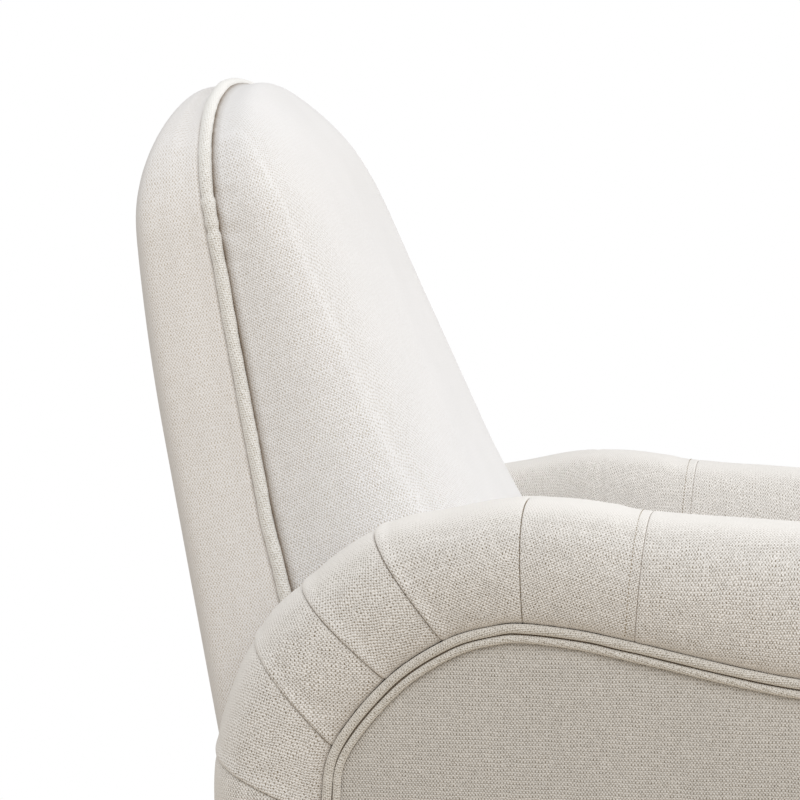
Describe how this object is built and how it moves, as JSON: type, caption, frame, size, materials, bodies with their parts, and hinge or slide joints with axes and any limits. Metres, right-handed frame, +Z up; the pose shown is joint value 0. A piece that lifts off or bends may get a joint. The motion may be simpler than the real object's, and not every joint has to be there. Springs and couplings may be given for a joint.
{
  "type": "upholstered swivel glider chair",
  "caption": "Upholstered armchair with rolled, pleated arms and a tall rounded back, on a base that turns and glides.",
  "frame": {"origin": "on the floor, on the swivel axis, under the middle of the chair", "axes": "+Z up; the chair faces -Y; the sitter's right arm is at -X"},
  "size_m": [0.765, 0.9536, 1.006],
  "materials": {
    "black_steel": "black powder coat, satin",
    "zinc_steel": "zinc plated",
    "bearing_steel": "ground and polished",
    "spring_steel": "oil tempered wire, dark",
    "nylon": "moulded, matt black",
    "stop_rubber": "moulded, matt",
    "hardwood": "sawn and planed, unfinished",
    "plywood": "sanded plywood, unfinished",
    "webbing": "woven elastic strap",
    "lining": "black non-woven cloth",
    "linen": "plain weave linen look, warm off-white",
    "linen_welt": "bias-cut linen look over a cord"
  },
  "bodies": {
    "base": {"base_ring": "black_steel", "base_spokes": "black_steel", "floor_glides": "nylon", "swivel_lower_plate": "zinc_steel", "plate_bolts": "zinc_steel", "ball_cage": "nylon", "bearing_balls": "bearing_steel", "king_bolt": "zinc_steel", "king_nut": "zinc_steel"},
    "turntable": {"swivel_upper_plate": "zinc_steel", "turntable_bars": "black_steel", "turntable_channels": "black_steel", "hanger_uprights": "black_steel", "upper_pivot_pins": "zinc_steel", "upper_pivot_nuts": "zinc_steel", "bar_bolts": "zinc_steel", "bump_stops": "stop_rubber"},
    "front_links": {"front_link_plates": "black_steel", "front_link_bearings": "bearing_steel"},
    "rear_links": {"rear_link_plates": "black_steel", "rear_link_bearings": "bearing_steel"},
    "seat": {"glide_rail_left": "black_steel", "glide_rail_right": "black_steel", "cross_tubes": "black_steel", "lower_pivot_pins": "zinc_steel", "lower_pivot_nuts": "zinc_steel", "rail_screws": "zinc_steel", "box_side_left": "hardwood", "box_side_right": "hardwood", "box_front": "hardwood", "box_back": "hardwood", "corner_blocks": "hardwood", "seat_springs": "spring_steel", "spring_clips": "zinc_steel", "seat_deck": "lining", "seat_cushion": "linen", "front_apron": "linen", "dust_cover": "lining", "arm_board_left": "plywood", "arm_board_right": "plywood", "arm_posts_left": "hardwood", "arm_posts_right": "hardwood", "arm_roll_left": "linen", "arm_roll_right": "linen", "side_panel_left": "linen", "side_panel_right": "linen", "arm_pad_left": "linen", "arm_pad_right": "linen", "double_welt_left": "linen_welt", "double_welt_right": "linen_welt", "arm_bolts": "zinc_steel", "back_post_left": "plywood", "back_post_right": "plywood", "back_rails": "plywood", "back_webbing": "webbing", "back_wedges": "hardwood", "back_screws": "zinc_steel", "back_cushion": "linen", "outside_back": "linen", "back_welt": "linen_welt"}
  },
  "joints": [
    {"name": "swivel", "type": "hinge", "parent": "base", "child": "turntable", "pos_m": [0, 0, 0.0475], "axis": [0, 0, 1], "continuous": true},
    {"name": "glide", "type": "hinge", "parent": "turntable", "child": "front_links", "pos_m": [0, -0.15, 0.225], "axis": [1, 0, 0], "range_deg": [-20, 20]},
    {"name": "rear_link_swing", "type": "hinge", "parent": "turntable", "child": "rear_links", "pos_m": [0, 0.15, 0.225], "axis": [1, 0, 0], "range_deg": [-21, 21]},
    {"name": "seat_swing", "type": "hinge", "parent": "front_links", "child": "seat", "pos_m": [0, -0.15, 0.075], "axis": [1, 0, 0], "range_deg": [-21, 21]}
  ],
  "couplings": [
    {"joint": "rear_link_swing", "follows": "glide", "ratio": 1},
    {"joint": "seat_swing", "follows": "glide", "ratio": -1}
  ]
}
